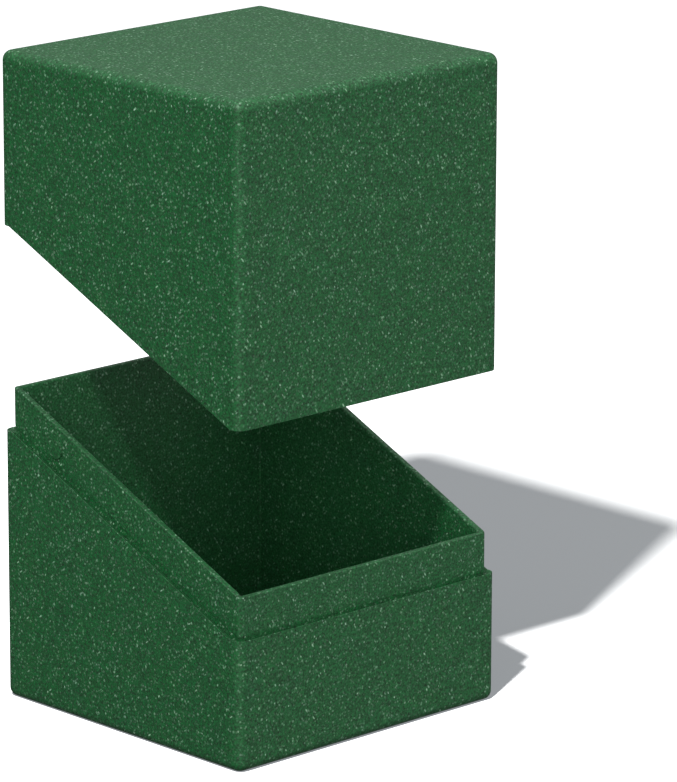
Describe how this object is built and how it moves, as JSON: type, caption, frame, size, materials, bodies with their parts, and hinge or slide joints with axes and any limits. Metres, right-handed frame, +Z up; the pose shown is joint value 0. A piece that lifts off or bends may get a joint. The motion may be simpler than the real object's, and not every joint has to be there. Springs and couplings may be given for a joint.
{
  "type": "card deck box",
  "caption": "Upright two-part deck box for collectible cards: a base with a raised neck and a lift-off lid that meet along a slanted cut, in speckled matt green plastic.",
  "frame": {"origin": "centre of the base's underside", "axes": "+Z up, the way the lid lifts; +Y to the rear, where the slanted cut is high; +X to the right"},
  "size_m": [0.0772, 0.0764, 0.146],
  "materials": {
    "base_shell": "matt, finely textured green plastic with pale plant fibre specks",
    "inner_liner": "matt, finely textured green plastic with pale plant fibre specks",
    "lid_shell": "matt, finely textured green plastic with pale plant fibre specks"
  },
  "bodies": {
    "base": {"base_shell": "base_shell", "inner_liner": "inner_liner"},
    "lid": {"lid_shell": "lid_shell"}
  },
  "joints": [
    {"name": "lid_lift", "type": "slide", "parent": "base", "child": "lid", "axis": [0, 0, 1], "range_m": [-0.046, 0.054]}
  ]
}
